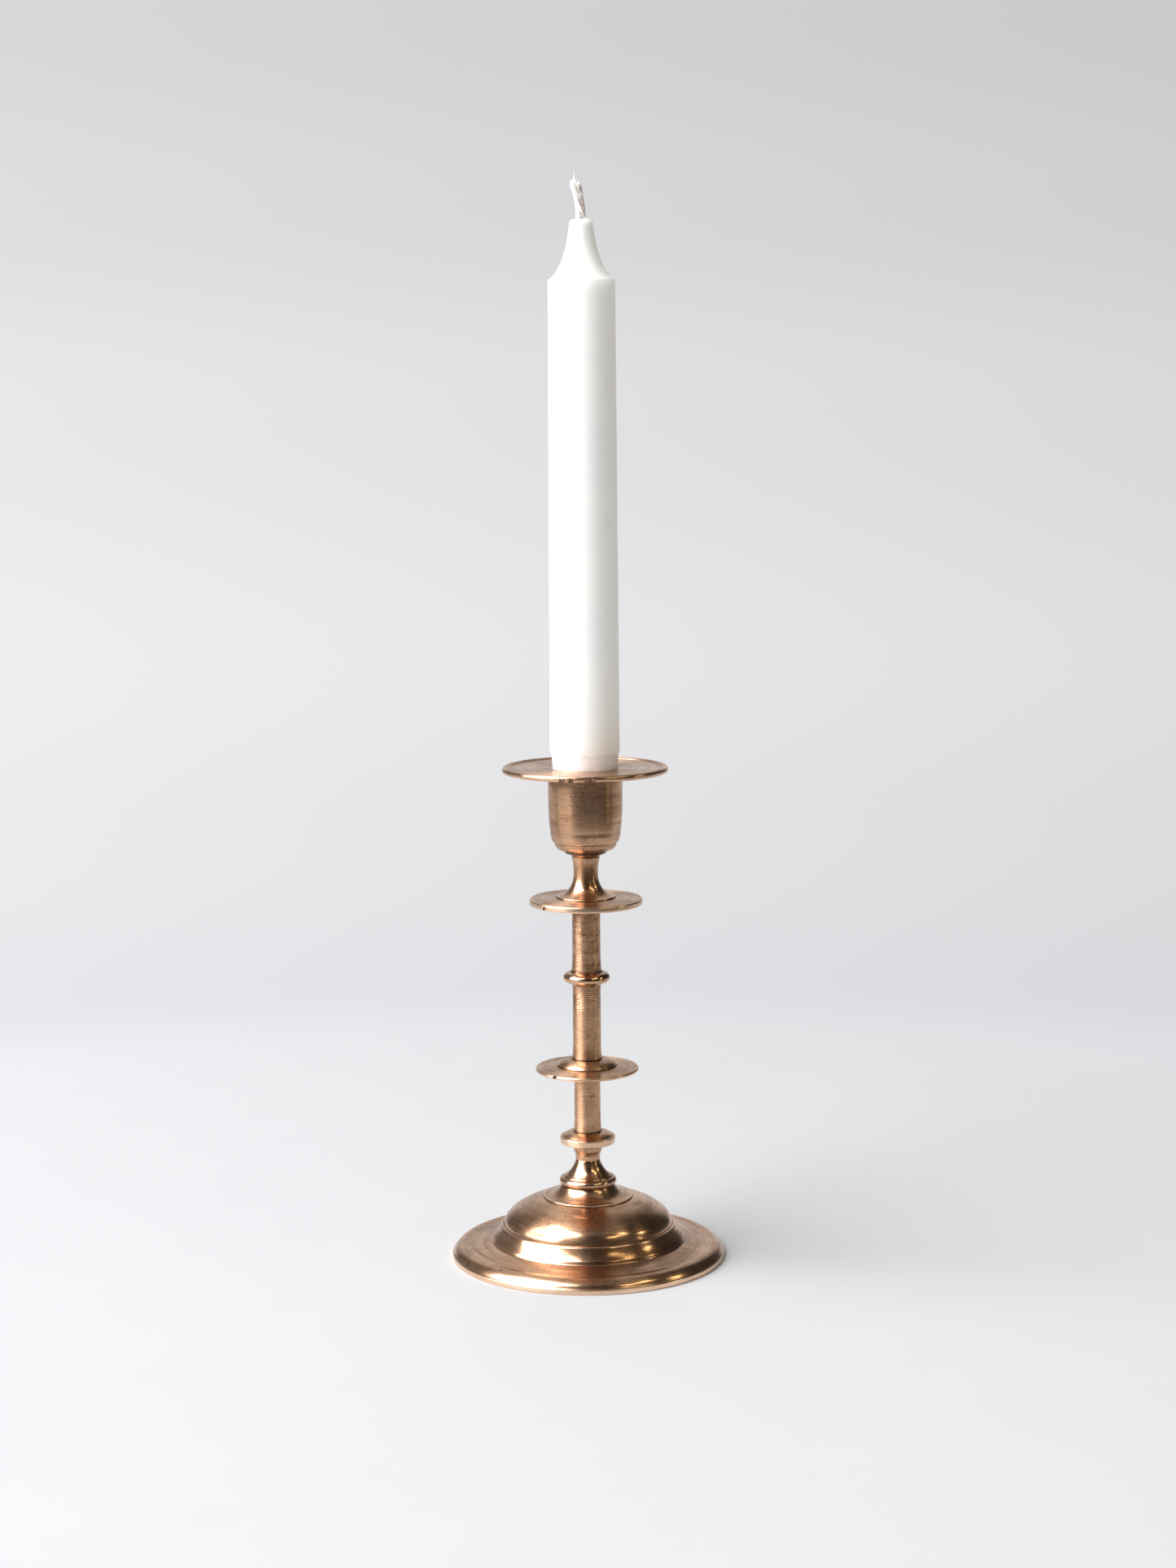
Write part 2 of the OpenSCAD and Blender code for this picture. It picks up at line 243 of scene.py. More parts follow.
def dented(dents):
    """A shape that pushes the surface in at each dent (angle, r, z, radius, depth)."""
    sink = 0.06

    def shape(r, z, a):
        here = (r * math.cos(a), r * math.sin(a), z)
        push = 0.0
        for angle, dent_r, dent_z, size, depth in dents:
            away = math.dist(here, (dent_r * math.cos(angle), dent_r * math.sin(angle), dent_z))
            if away < size:
                push += depth * (1 - (away / size) ** 2) ** 2
        return r - push, z - sink * push
    return shape


def rubbed_rim(name, outline):
    """1 on the outermost rim of the pieces whose rims are rubbed bright, else 0."""
    rim = hi(name).x - 0.22 * MM
    worn_rims = ("foot", "upper_disc", "lower_disc", "lower_collar")
    return np.array([1.0 if name in worn_rims and r > rim else 0.0 for r, _ in outline])


METAL = [node for node in TURNED if node != "candle"]
CREASE = 0.45 * MM
HOLLOW = 1.8 * MM
FINE = 0.35 * MM


def add_turned(name, count, tone, satin, polish, step=FINE, dents=(), ribs=None):
    """The detailed piece that stands for one turned CAD node.

    tone is how worn its colour is, satin its roughness and polish the share of its smoother lobe.
    """
    outline = refine(OUTLINES[name], step)
    if ribs:
        outline = ribbed(outline, **ribs)
    angles = even_angles(count)
    if dents:
        angles = finer_near(angles, [dent[0] for dent in dents], math.radians(4), 4)
    shape = dented(dents) if dents else None
    obj = lathe("turned_" + name, outline, angles, shape, {
        "near": filled(outline, CREASE, METAL),
        "wide": filled(outline, HOLLOW, METAL),
        "tone": np.full(len(outline), tone),
        "satin": np.full(len(outline), satin),
        "polish": np.full(len(outline), polish),
        "rubbed": rubbed_rim(name, outline),
    })
    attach(obj, "holder")
    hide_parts(name)
    return obj


def ribbed(outline, low, high, pitch, depth):
    """Fine turning ribs on the outside between two heights, fading out at both."""
    steps_per_rib = 8
    out = []
    for (r, z), (r1, z1) in zip(outline, outline[1:] + outline[:1]):
        steep = z1 > z and abs(r1 - r) < 0.4 * abs(z1 - z)
        k = max(1, math.ceil((z1 - z) / (pitch / steps_per_rib))) if steep else 1
        out += [(r + (r1 - r) * j / k, z + (z1 - z) * j / k) for j in range(k)]
    outside = 0.8 * max(r for r, _ in outline)
    done = []
    for r, z in out:
        if low < z < high and r > outside:
            fade = min(1, (z - low) / (2 * pitch), (high - z) / (2 * pitch))
            r -= depth * fade * (0.5 - 0.5 * math.cos(TURN * (z - low) / pitch))
        done.append((r, z))
    return done


FRONT = -math.pi / 2


def rim_nicks(node, rows):
    """Dents on a node's rim: turn from the front; inset, height, radius and depth in mm."""
    rim, under = hi(node).x, lo(node).z
    return [
        (FRONT + turn, rim - inset * MM, under + height * MM, size * MM, depth * MM)
        for turn, inset, height, size, depth in rows
    ]


pan_nicks = rim_nicks("drip_pan", [
    (-0.29, 0.3, 0.4, 0.9, 0.7),
    (-0.25, 0.2, 0.7, 0.6, 0.5),
    (-0.17, 0.3, 0.5, 1.0, 0.8),
    (-0.14, 0.2, 0.9, 0.6, 0.4),
    (0.02, 0.3, 0.4, 0.8, 0.6),
    (0.07, 0.3, 0.6, 1.1, 0.8),
    (0.12, 0.2, 0.4, 0.6, 0.5),
    (2.4, 0.3, 0.7, 0.9, 0.6),
])
upper_nicks = rim_nicks("upper_disc", [(-0.83, 0.1, 0.9, 0.9, 0.8), (2.9, 0.1, 1.0, 0.7, 0.6)])
lower_nicks = rim_nicks("lower_disc", [(-0.68, 0.0, 0.9, 1.0, 0.9), (2.2, 0.0, 0.8, 0.6, 0.5)])

middle_top = hi("stem_middle").z
middle_ribs = {
    "low": middle_top - 8.6 * MM, "high": middle_top - 1.6 * MM, "pitch": 0.62 * MM, "depth": 0.09 * MM,
}
upper_ribs = {
    "low": lo("stem_upper").z + 2 * MM, "high": hi("stem_upper").z - 2 * MM,
    "pitch": 0.55 * MM, "depth": 0.035 * MM,
}

bronze_pieces = [
    add_turned("foot", 320, tone=0.62, satin=0.3, polish=0.55, step=0.5 * MM),
    add_turned("dome_cap", 224, tone=0.5, satin=0.3, polish=0.5),
    add_turned("stem_foot", 192, tone=0.4, satin=0.28, polish=0.55),
    add_turned("lower_collar", 192, tone=0.35, satin=0.31, polish=0.35),
    add_turned("stem_lower", 160, tone=0.15, satin=0.36, polish=0.15),
    add_turned("lower_disc", 256, tone=0.5, satin=0.34, polish=0.3, dents=lower_nicks),
    add_turned("stem_middle", 160, tone=0.4, satin=0.36, polish=0.15, ribs=middle_ribs),
    add_turned("knop", 192, tone=0.35, satin=0.24, polish=0.7),
    add_turned("stem_upper", 160, tone=0.95, satin=0.33, polish=0.15, ribs=upper_ribs),
    add_turned("upper_disc", 256, tone=0.5, satin=0.34, polish=0.3, dents=upper_nicks),
    add_turned("neck", 192, tone=0.25, satin=0.32, polish=0.4),
    add_turned("candle_cup", 224, tone=0.6, satin=0.27, polish=0.2),
    add_turned("drip_pan", 288, tone=0.42, satin=0.31, polish=0.35, dents=pan_nicks),
]
# the cup washer is near black: tarnish, and painted shade standing in for the gap under the cup
washer_dark_as_gap_shade = add_turned("cup_washer", 160, tone=0.9, satin=0.4, polish=0.1)


# ---------------------------------------------------------------- candle

wax_top = hi("candle").z
body_r = hi("candle").x
pan_top = hi("candle_cup").z
socket_r = body_r - 0.7 * MM

# the knife's cuts reach TRIM_TOP above the pan, and the outline is the wax's skin beyond SKIN_R
FACET_COUNT = 26
TRIM_TOP = pan_top + 7 * MM
SKIN_R = 5 * MM

# each facet is its middle angle, its width, how far it stands out and how high it ends
facets = []
turned = 0.0
for i in range(FACET_COUNT):
    width = TURN / FACET_COUNT * rng.uniform(0.8, 1.2)
    facets.append([turned + width / 2, width])
    turned += width
for facet in facets:
    facet[0] *= TURN / turned
    facet.append(rng.uniform(-0.06, 0.05) * MM)
    facet.append(rng.uniform(-0.7, 0.5) * MM)


def whittled(r, z, a):
    """The candle's lower end is trimmed with a knife to fit the socket."""
    if r < SKIN_R or z > TRIM_TOP:
        return r, z
    middle, _, out, up = min(facets, key=lambda facet: abs(turn_between(a, facet[0])))
    lip = pan_top + 4.3 * MM + up
    slope = 0.075 * max(0.0, z - pan_top)
    flat_r = (socket_r - 0.1 * MM + out + slope) / math.cos(turn_between(a, middle))
    t = min(1.0, max(0.0, (z - lip) / (1.1 * MM)))
    t = t * t * (3 - 2 * t)
    return min(r, flat_r * (1 - t) + body_r * t), z


def candle_outline():
    """The CAD candle's outline, with close steps and spare wax where the knife has trimmed it."""
    step = 0.12 * MM
    points = refine(OUTLINES["candle"], 1.2 * MM)
    out = []
    for (r, z), (r1, z1) in zip(points, points[1:] + points[:1]):
        trimmed = r > SKIN_R and pan_top - 1 * MM < z < TRIM_TOP
        k = max(1, math.ceil(math.dist((r, z), (r1, z1)) / step)) if trimmed else 1
        out += [(r + (r1 - r) * j / k, z + (z1 - z) * j / k) for j in range(k)]
    done = []
    for r, z in out:
        if r > SKIN_R and pan_top + 0.3 * MM < z < TRIM_TOP:
            r = body_r - 0.02 * MM if z > pan_top + 3.2 * MM else r + 0.25 * MM
        done.append((r, z))
    return done


candle = lathe("wax_candle", candle_outline(), even_angles(252), whittled)
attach(candle, "candle")
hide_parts("candle")


# ---------------------------------------------------------------- wick

def tube(path, radii, sides=10):
    """Vertices and faces of a closed tube along a path of points, with a radius for each."""
    pts = [Vector(p) for p in path]
    n = len(pts)
    verts, faces = [], []
    normal = Vector((1, 0, 0))
    for i, p in enumerate(pts):
        along = (pts[min(i + 1, n - 1)] - pts[max(i - 1, 0)]).normalized()
        normal = (normal - along * normal.dot(along)).normalized()
        across = along.cross(normal)
        for j in range(sides):
            a = TURN * j / sides
            verts.append(p + radii[i] * (math.cos(a) * normal + math.sin(a) * across))
    for i in range(n - 1):
        for j in range(sides):
            k = (j + 1) % sides
            faces.append((i * sides + j, i * sides + k, (i + 1) * sides + k, (i + 1) * sides + j))
    faces.append(tuple(range(sides - 1, -1, -1)))
    faces.append(tuple((n - 1) * sides + j for j in range(sides)))
    return verts, faces


def join_tubes(name, tubes, painted_ply_shades):
    """One mesh of many tubes, with an amount of painted shade for each of them, kept in its tone
    attribute.
    """
    verts, faces = [], []
    for v, f in tubes:
        base = len(verts)
        verts += [tuple(p) for p in v]
        faces += [tuple(i + base for i in face) for face in f]
    mesh = bpy.data.meshes.new(name)
    mesh.from_pydata(verts, [], faces)
    shades = [tone for (v, _), tone in zip(tubes, painted_ply_shades) for _ in v]
    mesh.attributes.new("tone", "FLOAT", "POINT").data.foreach_set("value", shades)
    mesh.shade_smooth()
    return add_object(name, mesh)


wick_low, wick_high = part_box("wick")
wick_r = wick_high.x
bare = wick_high.z - wax_top
lean = -wick_low.x - 1.25 * wick_r


def wick_centre(t):
    """Point on the bare wick's centre line; t is 0 where it leaves the wax and 1 at its tip."""
    if t < 0:
        return Vector((0, 0, wax_top + t * bare))
    return Vector((-lean * t * t, -0.15 * MM * math.sin(3 * t), wax_top + bare * t))


def ply(offset, depth, thick, turns, begin, end, phase, sway):
    """One ply of the cord, wandering about a line beside the wick's centre. Sizes are in mm."""
    path, radii = [], []
    count = 40
    for i in range(count + 1):
        t = begin + (end - begin) * i / count
        swing = TURN * turns * t + phase
        beside = Vector((offset + sway * math.sin(swing), depth + 0.8 * sway * math.cos(swing), 0))
        path.append(wick_centre(t) + beside * MM)
        close = min(1.0, (i + 0.6) / 3, (count - i + 0.6) / 4)
        radii.append(thick * (0.93 + 0.07 * math.sin(9 * t + phase)) * math.sqrt(close) * MM)
    return tube(path, radii)


# two thick plies side by side, with thinner ones looped over them
strands = [
    ply(-0.78, -0.10, 0.92, 0.6, -0.25, 0.985, 0.4, 0.10),
    ply(0.80, 0.05, 0.72, 0.7, -0.25, 0.95, 2.6, 0.14),
    ply(0.10, -0.52, 0.46, 1.5, -0.20, 0.90, 0.6, 0.52),
    ply(0.10, 0.55, 0.62, 1.1, -0.20, 0.95, 3.4, 0.34),
    ply(0.95, -0.55, 0.26, 1.2, 0.20, 0.93, 1.2, 0.34),
    ply(0.45, -0.75, 0.22, 1.7, 0.05, 0.84, 4.0, 0.42),
    ply(-0.30, -0.85, 0.19, 0.9, 0.30, 0.99, 2.2, 0.34),
]
# how much painted shade each ply gets: the plies further right are darker
painted_ply_shades = [0.0, 0.25, 0.55, 0.6, 0.9, 0.7, 0.2]

# the fine fibres that bind them, most of them on the front
FIBRES = 26
for k in range(FIBRES):
    side = rng.uniform(-1.5, 1.5)
    front = -0.62 * math.sqrt(max(0.0, 2.3 - side * side)) * rng.choice((1, 1, 1, -1))
    begin = rng.uniform(-0.1, 0.55)
    strands.append(ply(
        side, front, rng.uniform(0.05, 0.10), rng.uniform(0.5, 1.4),
        begin, min(0.99, begin + rng.uniform(0.3, 0.6)), rng.uniform(0, 6.3), rng.uniform(0.1, 0.3),
    ))
    # fibres right of the middle get painted shade, those on the left hardly any
    painted_ply_shades.append(rng.uniform(0.3, 1.0) if side > -0.2 else 0.1)

# loose ends: one long wisp and a few short ones
WISPS = 7
WISP_STEPS = 14
tip = wick_centre(1.0)
for k in range(WISPS):
    longest = k == 0
    length = (4.4 if longest else rng.uniform(0.8, 2.0)) * MM
    sway = -0.16 if longest else rng.uniform(-0.25, 0.25)
    depth = rng.uniform(-0.2, 0.2)
    aside = Vector((rng.uniform(-0.5, 0.5), rng.uniform(-0.4, 0.4), 0)) * wick_r
    start = wick_centre(0.93) if longest else wick_centre(0.9 + 0.02 * (k % 3)) + aside
    thick = 0.32 if longest else 0.13
    total = length + (tip.z - start.z)
    path, radii = [], []
    for i in range(WISP_STEPS + 1):
        t = i / WISP_STEPS
        path.append(start + Vector((sway * t * t, depth * t * t, t)) * total)
        radii.append(max(0.035, thick * (1 - t) ** 1.3) * MM)
    strands.append(tube(path, radii, 6))
    painted_ply_shades.append(0.1)

wick = join_tubes("braided_wick", strands, painted_ply_shades)
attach(wick, "candle")
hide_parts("wick")


# ---------------------------------------------------------------- materials

def new_material(name):
    mat = bpy.data.materials.new(name)
    mat.use_nodes = True
    mat.node_tree.nodes.clear()
    return mat, mat.node_tree


def put(tree, kind, inputs=None, **props):
    """A new node. inputs are sockets to link or constant values, props are its settings."""
    node = tree.nodes.new(kind)
    for key, value in props.items():
        setattr(node, key, value)
    for key, value in (inputs or {}).items():
        if isinstance(value, bpy.types.NodeSocket):
            tree.links.new(value, node.inputs[key])
        else:
            node.inputs[key].default_value = value
    return node


def maths(tree, operation, a, b=None, clamp=False):
    node = tree.nodes.new("ShaderNodeMath")
    node.operation = operation
    node.use_clamp = clamp
    for i, value in enumerate((a, b)):
        if value is None:
            continue
        if isinstance(value, bpy.types.NodeSocket):
            tree.links.new(value, node.inputs[i])
        else:
            node.inputs[i].default_value = value
    return node.outputs[0]


def ramp(tree, value, start, end, low=0.0, high=1.0):
    """value mapped smoothly from start..end to low..high."""
    node = put(tree, "ShaderNodeMapRange", {
        "Value": value, "From Min": start, "From Max": end, "To Min": low, "To Max": high,
    }, interpolation_type="SMOOTHSTEP")
    return node.outputs[0]


def mix_colour(tree, factor, a, b):
    """Colour a where the factor is 0 and b where it is 1. Colours are sockets or (r, g, b)."""
    node = tree.nodes.new("ShaderNodeMix")
    node.data_type = "RGBA"
    node.clamp_factor = True
    for key, value in (("Factor", factor), ("A", a), ("B", b)):
        wanted = "VALUE" if key == "Factor" else "RGBA"
        socket = [s for s in node.inputs if s.name == key and s.type == wanted and s.enabled][0]
        if isinstance(value, bpy.types.NodeSocket):
            tree.links.new(value, socket)
        else:
            socket.default_value = value if key == "Factor" else (*value, 1.0)
    return [s for s in node.outputs if s.type == "RGBA"][0]


def attribute(tree, name):
    return put(tree, "ShaderNodeAttribute", attribute_name=name, attribute_type="GEOMETRY").outputs["Fac"]


def turned_coordinates(tree):
    """The position, its direction from the axis as x and y of a unit vector, height and radius."""
    where = put(tree, "ShaderNodeTexCoord").outputs["Object"]
    parts = put(tree, "ShaderNodeSeparateXYZ", {"Vector": where})
    flat = put(tree, "ShaderNodeCombineXYZ", {"X": parts.outputs["X"], "Y": parts.outputs["Y"], "Z": 0.0})
    radius = put(tree, "ShaderNodeVectorMath", {0: flat.outputs[0]}, operation="LENGTH").outputs["Value"]
    unit = put(tree, "ShaderNodeVectorMath", {0: flat.outputs[0]}, operation="NORMALIZE").outputs[0]
    unit_parts = put(tree, "ShaderNodeSeparateXYZ", {"Vector": unit})
    return where, unit_parts.outputs["X"], unit_parts.outputs["Y"], parts.outputs["Z"], radius


def streaks(tree, coords, around, along, detail=2.0, rough=0.5):
    """Noise drawn out round the axis, with its fineness round the circle and along it per metre."""
    _, ux, uy, height, radius = coords
    vector = put(tree, "ShaderNodeCombineXYZ", {
        "X": maths(tree, "MULTIPLY", ux, around),
        "Y": maths(tree, "MULTIPLY", uy, around),
        "Z": maths(tree, "MULTIPLY", height, along),
    }).outputs[0]
    return put(tree, "ShaderNodeTexNoise", {
        "Vector": vector, "W": maths(tree, "MULTIPLY", radius, along),
        "Scale": 1.0, "Detail": detail, "Roughness": rough,
    }, noise_dimensions="4D").outputs["Fac"]


def spots(tree, coords, scale, detail=3.0, rough=0.6, squeeze=1.0):
    """Noise in three dimensions. A squeeze below 1 draws it out along the axis."""
    where = coords[0]
    if squeeze != 1.0:
        where = put(tree, "ShaderNodeMapping", {"Vector": where, "Scale": (1.0, 1.0, squeeze)}).outputs[0]
    return put(tree, "ShaderNodeTexNoise", {
        "Vector": where, "Scale": scale, "Detail": detail, "Roughness": rough,
    }).outputs["Fac"]


def bump(tree, height, strength, distance, below=None):
    """The normal of a bumped surface, on top of the bumps below it."""
    inputs = {"Height": height, "Strength": strength, "Distance": distance}
    if below is not None:
        inputs["Normal"] = below
    return put(tree, "ShaderNodeBump", inputs).outputs[0]


def principled(tree, inputs):
    return put(tree, "ShaderNodeBsdfPrincipled", inputs).outputs[0]


def mix_shaders(tree, factor, a, b):
    node = tree.nodes.new("ShaderNodeMixShader")
    for i, socket in enumerate((factor, a, b)):
        tree.links.new(socket, node.inputs[i])
    return node.outputs[0]


def surface(tree, shader, kind="ShaderNodeOutputMaterial"):
    out = tree.nodes.new(kind)
    tree.links.new(shader, out.inputs["Surface"])


def bronze_material(name, edge, clean, worn, dirt_and_shade, dulled):
    """Turned bronze: worn patches and dirt, dark grime with painted shade in creases, rubbed edges and a
    satin, brushed finish.
    """
    mat, tree = new_material(name)
    coords = turned_coordinates(tree)
    near = attribute(tree, "near")
    wide = attribute(tree, "wide")
    tone = attribute(tree, "tone")
    satin = attribute(tree, "satin")
    dent = attribute(tree, "dent")

    clouds = spots(tree, coords, 95.0, 4.0, 0.62)
    specks = spots(tree, coords, 900.0, 2.0, 0.5)
    broad = spots(tree, coords, 28.0, 2.0, 0.5)
    grain = spots(tree, coords, 2300.0, 2.0, 0.55)
    lines = streaks(tree, coords, 1.6, 2600.0, 3.0, 0.55)
    bands = streaks(tree, coords, 1.1, 420.0, 3.0, 0.6)

    cloudy = ramp(tree, clouds, 0.40, 0.66)
    banded = ramp(tree, bands, 0.38, 0.68)
    patina = maths(tree, "MULTIPLY", maths(tree, "ADD", cloudy, banded), 0.5)
    patina = maths(tree, "MULTIPLY", patina, maths(tree, "ADD", tone, 0.12))
    patina = maths(tree, "ADD", patina, ramp(tree, broad, 0.45, 0.75, 0.0, 0.18), clamp=True)
    grained = ramp(tree, grain, 0.42, 0.66, 0.0, 0.45)
    grained = maths(tree, "MULTIPLY", grained, ramp(tree, clouds, 0.35, 0.6, 0.4, 1.0))
    patina = maths(tree, "ADD", patina, grained, clamp=True)
    colour = mix_colour(tree, patina, clean, worn)

    speckled = ramp(tree, specks, 0.60, 0.72)
    speckled = maths(tree, "MULTIPLY", speckled, ramp(tree, clouds, 0.42, 0.60, 0.05, 1.0))
    speckled = maths(tree, "MULTIPLY", speckled, tone)
    colour = mix_colour(tree, speckled, colour, dirt_and_shade)
    colour = mix_colour(tree, ramp(tree, lines, 0.50, 0.74, 0.0, 0.55), colour, dirt_and_shade)

    # dark grime and painted shade in creases and hollows, where much solid metal surrounds a point
    creased = ramp(tree, near, 0.56, 0.70, 0.0, 0.95)
    crease_grime_and_shade = maths(tree, "MAXIMUM", creased, ramp(tree, wide, 0.58, 0.80, 0.0, 0.6))
    grime_and_painted_shade = maths(tree, "MULTIPLY", crease_grime_and_shade, ramp(tree, clouds, 0.3, 0.6, 0.65, 1.0))
    colour = mix_colour(tree, grime_and_painted_shade, colour, dirt_and_shade)

    bright = maths(tree, "MULTIPLY", ramp(tree, near, 0.46, 0.34), 0.9)
    rubbed = attribute(tree, "rubbed")
    rubbed = maths(tree, "MULTIPLY", rubbed, ramp(tree, clouds, 0.35, 0.6, 1.0, 0.8))
    colour = mix_colour(tree, maths(tree, "MAXIMUM", bright, rubbed), colour, edge)
    dented_in = maths(tree, "MULTIPLY", ramp(tree, dent, 0.1, 0.8), 0.8)
    colour = mix_colour(tree, dented_in, colour, dirt_and_shade)

    roughness = ramp(tree, bands, 0.3, 0.7, dulled - 0.03, dulled + 0.03)
    roughness = maths(tree, "ADD", satin, roughness)
    roughness = maths(tree, "ADD", roughness, maths(tree, "MULTIPLY", patina, 0.10))
    roughness = maths(tree, "ADD", roughness, maths(tree, "MULTIPLY", crease_grime_and_shade, 0.2), clamp=True)

    swell = bump(tree, spots(tree, coords, 70.0, 2.0, 0.4), 0.35, 0.35 * MM)
    grooves = bump(tree, lines, 0.3, 0.03 * MM, swell)
    pits = bump(tree, maths(tree, "SUBTRACT", 1.0, speckled), 0.3, 0.03 * MM, grooves)

    # the brushed lobe spreads light across the lathe's lines
    brushed = principled(tree, {
        "Base Color": colour,
        "Metallic": 1.0,
        "Roughness": roughness,
        "Anisotropic": 0.85,
        "Anisotropic Rotation": 0.25,
        "Normal": pits,
        "Tangent": put(tree, "ShaderNodeTangent", direction_type="RADIAL", axis="Z").outputs[0],
    })
    smooth = principled(tree, {
        "Base Color": colour,
        "Metallic": 1.0,
        "Roughness": maths(tree, "MULTIPLY", roughness, 0.42),
        "Normal": swell,
    })
    polish = attribute(tree, "polish")
    polish = maths(tree, "MULTIPLY", polish, ramp(tree, crease_grime_and_shade, 0.2, 0.9, 1.0, 0.3))
    surface(tree, mix_shaders(tree, polish, brushed, smooth))
    return mat


def steel_material():
    mat, tree = new_material("plain_steel")
    coords = turned_coordinates(tree)
    clouds = spots(tree, coords, 260.0, 4.0, 0.6)
    lines = streaks(tree, coords, 2.0, 3800.0, 2.0, 0.5)
    stained = ramp(tree, clouds, 0.42, 0.7)
    surface(tree, principled(tree, {
        "Base Color": mix_colour(tree, stained, (0.56, 0.55, 0.54), (0.30, 0.26, 0.22)),
        "Metallic": 1.0,
        "Roughness": ramp(tree, clouds, 0.3, 0.7, 0.28, 0.48),
        "Normal": bump(tree, lines, 0.3, 0.03 * MM),
    }))
    return mat


def wax_material():
    """White wax that light sinks into, a little violet where the knife has cut it."""
    mat, tree = new_material("white_wax")
    coords = turned_coordinates(tree)
    clouds = spots(tree, coords, 60.0, 3.0, 0.5)
    drawn = spots(tree, coords, 420.0, 2.0, 0.5, squeeze=0.05)
    mottled = ramp(tree, clouds, 0.35, 0.7)
    colour = mix_colour(tree, mottled, (0.925, 0.93, 0.968), (0.89, 0.89, 0.932))
    cut = attribute(tree, "dent")
    cut = maths(tree, "MULTIPLY", cut, ramp(tree, clouds, 0.3, 0.6, 0.25, 0.6))
    swell = bump(tree, clouds, 0.25, 0.3 * MM)
    surface(tree, principled(tree, {
        "Base Color": mix_colour(tree, cut, colour, (0.80, 0.775, 0.86)),
        "Roughness": ramp(tree, clouds, 0.3, 0.7, 0.34, 0.46),
        "IOR": 1.43,
        "Subsurface Weight": 1.0,
        "Subsurface Radius": (0.95, 0.95, 1.0),
        "Subsurface Scale": 10.0 * MM,
        "Normal": bump(tree, drawn, 0.2, 0.04 * MM, swell),
    }))
    return mat


def cotton_material():
    mat, tree = new_material("waxed_cotton")
    coords = turned_coordinates(tree)
    fibres = spots(tree, coords, 5200.0, 2.0, 0.6, squeeze=0.12)
    clouds = spots(tree, coords, 520.0, 3.0, 0.6)
    waxed = ramp(tree, clouds, 0.35, 0.68)
    colour = mix_colour(tree, waxed, (0.95, 0.945, 0.935), (0.86, 0.82, 0.79))
    # painted shade: the plies and fibres at the right of the wick are coloured darker
    painted_wick_shade = attribute(tree, "tone")
    painted_wick_shade = maths(tree, "MULTIPLY", painted_wick_shade, ramp(tree, clouds, 0.3, 0.6, 0.4, 1.0))
    surface(tree, principled(tree, {
        "Base Color": mix_colour(tree, painted_wick_shade, colour, (0.50, 0.40, 0.38)),
        "Roughness": ramp(tree, fibres, 0.3, 0.7, 0.55, 0.8),
        "Normal": bump(tree, fibres, 0.5, 0.05 * MM),
    }))
    return mat


bronze = bronze_material(
    "turned_bronze",
    edge=(0.90, 0.64, 0.45),
    clean=(0.78, 0.485, 0.305),
    worn=(0.33, 0.175, 0.097),
    dirt_and_shade=(0.075, 0.035, 0.018),
    dulled=0.0,
)
# near-black bronze for the washer, which also paints the shade of the gap under the cup
dark = bronze_material(
    "washer_tarnish_and_gap_shade",
    edge=(0.22, 0.14, 0.09),
    clean=(0.13, 0.08, 0.05),
    worn=(0.16, 0.10, 0.07),
    dirt_and_shade=(0.04, 0.03, 0.02),
    dulled=0.08,
)
steel = steel_material()
wax = wax_material()
cotton = cotton_material()


def dress(obj, mat):
    obj.data.materials.clear()
    obj.data.materials.append(mat)


for obj in bronze_pieces:
    dress(obj, bronze)
dress(washer_dark_as_gap_shade, dark)
dress(candle, wax)
dress(wick, cotton)
for name in ("tie_rod", "cup_nut", "base_washer", "lock_washer", "base_nut"):
    dress(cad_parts[name], steel)


# ---------------------------------------------------------------- floor, light and camera

def floor():
    """A round pale floor that fades out into the backdrop, open under the hollow foot.

    From below it can't be seen, so that it doesn't hide the part.
    """
    rings = [hi("foot").x - 2.5 * MM, 0.08, 0.16, 0.24, 0.32, 0.4, 0.46]
    fade_start, fade_end = 0.27, 0.44
    sides = 96
    verts = [(r * math.cos(a), r * math.sin(a), 0) for r in rings for a in even_angles(sides)]
    faces = []
    for i in range(len(rings) - 1):
        inner, outer = i * sides, (i + 1) * sides
        for j in range(sides):
            k = (j + 1) % sides
            faces.append((inner + j, outer + j, outer + k, inner + k))
    mesh = bpy.data.meshes.new("floor")
    mesh.from_pydata(verts, [], faces)
    obj = add_object("floor", mesh)

    mat, tree = new_material("pale_floor")
    where = put(tree, "ShaderNodeTexCoord").outputs["Object"]
    radius = put(tree, "ShaderNodeVectorMath", {0: where}, operation="LENGTH").outputs["Value"]
    paper = put(tree, "ShaderNodeTexNoise", {"Vector": where, "Scale": 30.0, "Detail": 3.0}).outputs["Fac"]
    from_below = put(tree, "ShaderNodeNewGeometry").outputs["Backfacing"]
    faded = ramp(tree, radius, fade_start, fade_end, 1.0, 0.0)
    surface(tree, principled(tree, {
        "Base Color": mix_colour(tree, paper, (0.428, 0.434, 0.450), (0.441, 0.447, 0.463)),
        "Roughness": 0.75,
        "Specular IOR Level": 0.2,
        "Alpha": maths(tree, "MULTIPLY", faded, maths(tree, "SUBTRACT", 1.0, from_below)),
    }))
    dress(obj, mat)


floor()


def linear(level):
    """Linear value of a display level from 0 to 255."""
    s = level / 255
    return ((s + 0.055) / 1.055) ** 2.4 if s > 0.04045 else s / 12.92


# the backdrop's display colour by the height of the view direction, from low to high, with its light
# falloff painted in
BACKDROP = [
    (-0.45, (243, 244, 248)),
    (-0.28, (243, 244, 248)),
    (-0.235, (241, 242, 246)),
    (-0.205, (229, 230, 233)),
    (-0.15, (233, 233, 235)),
    (-0.09, (236, 236, 238)),
    (0.0, (230, 230, 232)),
    (0.07, (220, 220, 222)),
    (0.13, (214, 214, 215)),
    (0.3, (204, 204, 205)),
]


